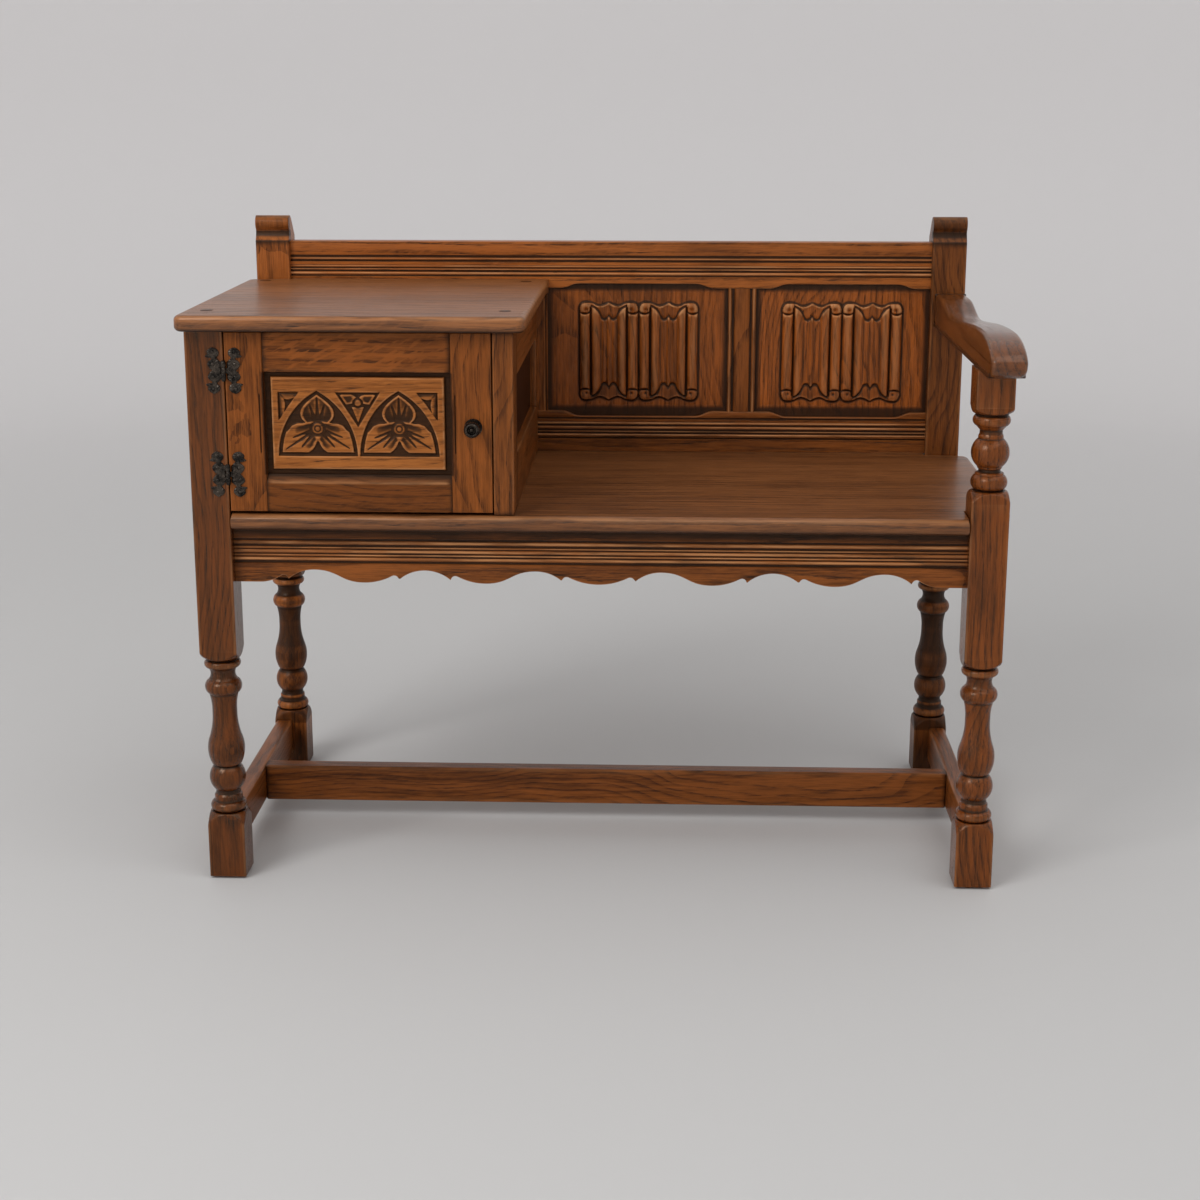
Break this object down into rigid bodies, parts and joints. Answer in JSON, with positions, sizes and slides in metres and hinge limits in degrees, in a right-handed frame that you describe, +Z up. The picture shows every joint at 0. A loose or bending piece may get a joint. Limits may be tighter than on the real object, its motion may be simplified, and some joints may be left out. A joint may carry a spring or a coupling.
{
  "type": "telephone bench",
  "caption": "Carved and turned oak telephone bench: a seat with one arm and a panelled back, beside a small cupboard with a hinged door under a table top.",
  "frame": {"origin": "middle of the footprint's bounding box, on the floor", "axes": "+X along the bench towards the arm, +Y towards the back, +Z up"},
  "size_m": [0.98, 0.527, 0.783],
  "materials": {
    "oak_frame": "satin lacquer over dark oak stain",
    "oak_turned": "satin lacquer over dark oak stain",
    "oak_board": "semi-gloss lacquer over oak stain, long grain",
    "oak_door": "satin lacquer over oak stain",
    "oak_carved_door": "satin lacquer, lighter oak with dark glaze in the cuts",
    "oak_linenfold": "satin lacquer, dark glaze in the folds",
    "oak_panel": "satin lacquer over oak stain",
    "oak_arm": "satin lacquer, a little worn",
    "oak_plug": "satin lacquer",
    "plain_softwood": "bare sawn wood",
    "black_iron": "black hammered, a little worn",
    "dark_bronze": "dark antique bronze",
    "nylon_glide": "matt",
    "catch_plastic": "matt brown",
    "screw_steel": "zinc plated"
  },
  "bodies": {
    "bench": {"arm_rest": "oak_arm", "back_bottom_rail": "oak_frame", "back_muntin": "oak_frame", "back_panel_plain": "oak_panel", "back_stile": "oak_frame", "back_top_rail": "oak_frame", "cabinet_top": "oak_board", "catch_body": "catch_plastic", "catch_screws": "screw_steel", "centre_stretcher": "oak_frame", "end_bottom_rail": "oak_frame", "end_panel": "oak_panel", "end_top_rail": "oak_frame", "foot_glides": "nylon_glide", "front_apron": "oak_frame", "front_leg_left": "oak_turned", "front_leg_right": "oak_turned", "hinge_leg_nails": "black_iron", "hinge_lower_leg_leaf": "black_iron", "hinge_lower_pin": "black_iron", "hinge_upper_leg_leaf": "black_iron", "hinge_upper_pin": "black_iron", "linenfold_panel_left": "oak_linenfold", "linenfold_panel_right": "oak_linenfold", "rear_apron": "oak_frame", "rear_post_left": "oak_turned", "rear_post_right": "oak_turned", "seat_block_screws": "screw_steel", "seat_blocks": "plain_softwood", "seat_board": "oak_board", "side_apron_left": "oak_frame", "side_apron_right": "oak_frame", "side_bottom_rail": "oak_frame", "side_front_stile": "oak_frame", "side_panel": "oak_panel", "side_rear_stile": "oak_frame", "side_stretcher_left": "oak_frame", "side_stretcher_right": "oak_frame", "side_top_rail": "oak_frame", "top_plugs": "oak_plug", "top_screws": "screw_steel"},
    "door": {"door_bottom_rail": "oak_door", "door_carved_panel": "oak_carved_door", "door_hinge_stile": "oak_door", "door_knob": "dark_bronze", "door_lock_stile": "oak_door", "door_top_rail": "oak_door", "hinge_door_nails": "black_iron", "hinge_lower_door_leaf": "black_iron", "hinge_upper_door_leaf": "black_iron", "knob_plate": "dark_bronze", "knob_screw": "screw_steel", "strike_plate": "screw_steel", "strike_screw": "screw_steel"}
  },
  "joints": [
    {"name": "door_hinge", "type": "hinge", "parent": "bench", "child": "door", "pos_m": [-0.43425, -0.1847, 0.572], "axis": [0, 0, -1], "range_deg": [0, 170]}
  ]
}
